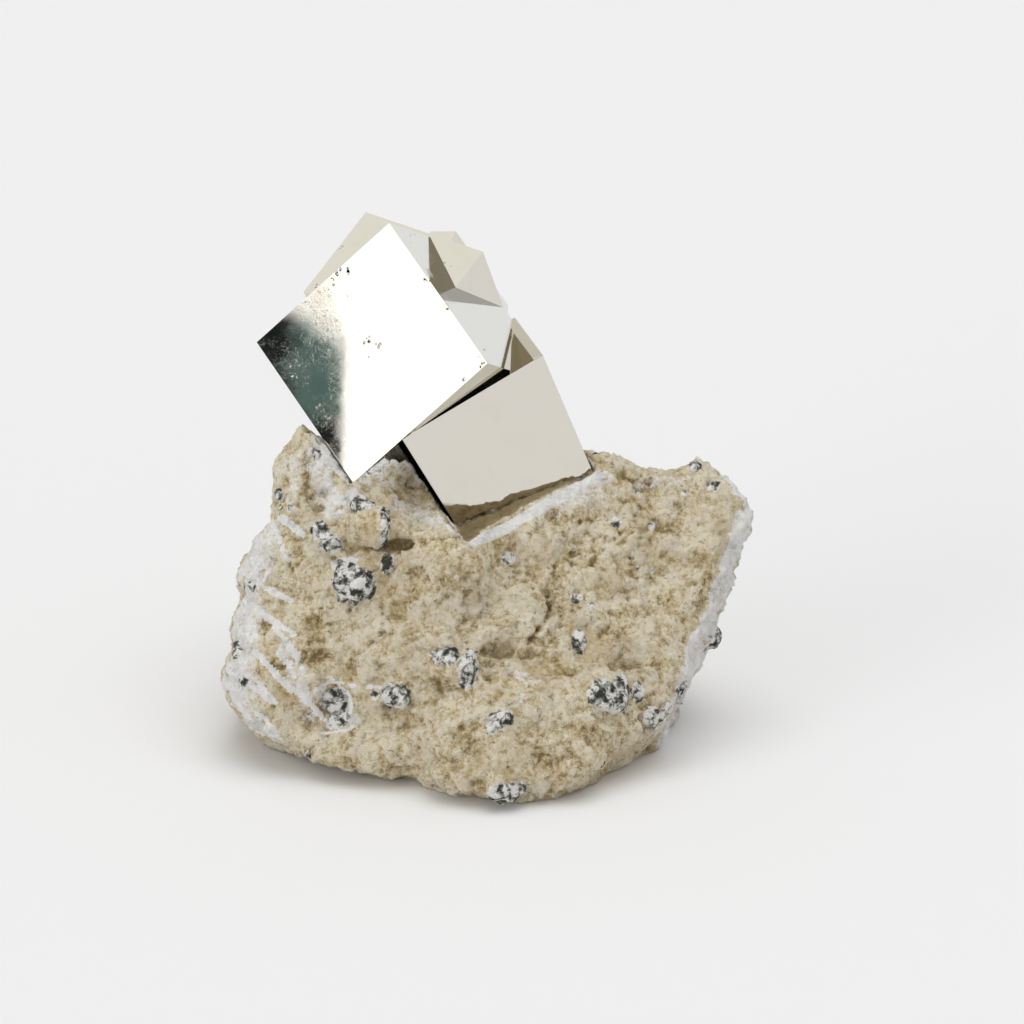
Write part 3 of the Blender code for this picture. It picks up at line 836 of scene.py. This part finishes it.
def mirroredPoint(across, up, distance, mainFace):
    # where the main face mirrors this place of it, that far off
    centre, normal = mainFace
    eye, way = viewRay(across, up)
    onFace = eye + way * ((centre - eye).dot(normal) / way.dot(normal))
    return onFace + (way - 2 * way.dot(normal) * normal) * distance


def mirroredPanel(name, corners, distance, colour, strength, mainFace):
    bm = bmesh.new()
    bmesh.ops.create_circle(bm, cap_ends=True, segments=4, radius=1.0)
    for v, (across, up) in zip(bm.verts, corners):
        v.co = mirroredPoint(across, up, distance, mainFace)
    material = plainMaterial(name, colour, strength)
    if name == "teal panel":
        shadeTeal(material, colour, distance, mainFace)
    stagePiece(name, bm, material, True)


def shadeTeal(material, colour, distance, mainFace):
    # teal, black round some places and white past its ragged ends
    tree = material.node_tree
    place = addNode(tree, "ShaderNodeTexCoord").outputs["Object"]
    spread = partial(addSpread, tree)
    maths = partial(addMaths, tree)
    coarse = addNoise(tree, place, 3.0, 5.0, 0.65, 0.5)
    fine = addNoise(tree, place, 1.6, 5.0, 0.65, 0.5)
    dark = 0.0
    for across, up, reach in blackParts:
        spot = mirroredPoint(across, up, distance, mainFace)
        near = spread(addDistance(tree, place, spot), 1.25 * reach * mm, 0.3 * reach * mm)
        dark = maths("MAXIMUM", dark, near)
    dark = spread(maths("MULTIPLY_ADD", coarse, 0.9, dark), 0.62, 1.15)
    white = 0.0
    for (across, up), (right, rise), rough in tealEnds:
        start = mirroredPoint(across, up, distance, mainFace)
        way = (mirroredPoint(across + right, up + rise, distance, mainFace) - start).normalized()
        along = addNode(tree, "ShaderNodeVectorMath", {"operation": "DOT_PRODUCT"}, {0: place, 1: way})
        past = maths("SUBTRACT", along.outputs["Value"], start.dot(way))
        past = maths("MULTIPLY_ADD", maths("SUBTRACT", fine, 0.5), 2 * rough * mm, past)
        white = maths("MAXIMUM", white, spread(past, -0.3 * rough * mm, 0.3 * rough * mm))
    shade = mixColours(tree, dark, toLinear(colour), toLinear("#060C0A"))
    shade = mixColours(tree, white, shade, toLinear("#FFFFFF"))
    tree.links.new(shade, tree.nodes["Principled BSDF"].inputs["Emission Color"])


def flag(name, turned, height, wide, high, colour):
    turned, height = math.radians(turned), math.radians(height)
    way = Vector((math.sin(turned) * math.cos(height), math.cos(turned) * math.cos(height), math.sin(height)))
    reach = studio["flagDistance"]
    size = Matrix.Diagonal((2 * reach * math.tan(math.radians(wide) / 2),
                            2 * reach * math.tan(math.radians(high) / 2), 1, 1))
    bm = bmesh.new()
    bmesh.ops.create_grid(bm, x_segments=1, y_segments=1, size=0.5,
                          matrix=Matrix.Translation(Vector((0, 0, studio["flagsFrom"])) + way * reach)
                          @ (-way).to_track_quat("Z", "Y").to_matrix().to_4x4() @ size)
    stagePiece(name, bm, plainMaterial(name, colour, 1.0), True)


def sunLight(name, source, spread, power):
    light = bpy.data.lights.new(name, "SUN")
    light.energy = power * math.pi
    light.angle = math.radians(spread)
    ob = bpy.data.objects.new(name, light)
    ob.rotation_euler = (-Vector(source)).to_track_quat("-Z", "Y").to_euler()
    bpy.context.scene.collection.objects.link(ob)


def setStudio(mainFace):
    s = studio
    scene = bpy.context.scene
    scene.view_settings.view_transform = "Standard"
    scene.view_settings.look = "None"
    world = bpy.data.worlds.new("studio")
    scene.world = world
    world.use_nodes = True
    background = world.node_tree.nodes["Background"]
    background.inputs["Color"].default_value = toLinear("#FFFFFF")
    background.inputs["Strength"].default_value = s["worldLight"]

    bm = bmesh.new()
    bmesh.ops.create_grid(bm, x_segments=1, y_segments=1, size=0.5 * s["floorSize"])
    stagePiece("floor", bm, plainMaterial("paper floor", s["backdrop"]))
    # a pale tent and the dark room in front, seen by the crystals only
    bm = bmesh.new()
    bmesh.ops.create_uvsphere(bm, u_segments=48, v_segments=24, radius=s["tentRadius"])
    bmesh.ops.reverse_faces(bm, faces=bm.faces)
    stagePiece("tent", bm, plainMaterial("tent cloth", s["tentColour"], s["tentLight"]), True)
    bm = bmesh.new()
    bmesh.ops.create_grid(bm, x_segments=1, y_segments=1, size=0.5,
                          matrix=Matrix.Translation(s["darkRoom"]) @ Matrix.Rotation(math.pi / 2, 4, "X")
                          @ Matrix.Diagonal((*s["darkRoomSize"], 1, 1)))
    stagePiece("dark room", bm, plainMaterial("dark room", "#0A0B0B", 1.0), True)
    for name, (corners, distance, colour, strength) in mirrored.items():
        mirroredPanel(name, corners, distance, colour, strength, mainFace)
    for name, (turned, height, wide, high, colour) in flags.items():
        flag(name, turned, height, wide, high, colour)
    sunLight("key", s["keyFrom"], s["keySpread"], s["keyLight"])
    sunLight("fill", s["fillFrom"], s["fillSpread"], s["fillLight"])

    camera = bpy.data.cameras.new("camera")
    camera.lens = s["cameraLens"]
    camera.sensor_width = 36.0
    camera.clip_end = 20.0
    ob = bpy.data.objects.new("camera", camera)
    eye, aim = cameraPlace()
    ob.location = eye
    ob.rotation_euler = (aim - eye).to_track_quat("-Z", "Y").to_euler()
    scene.collection.objects.link(ob)
    scene.camera = ob


roughRock(marlMaterial())
setStudio(crystalSkin())
print("scene: set")
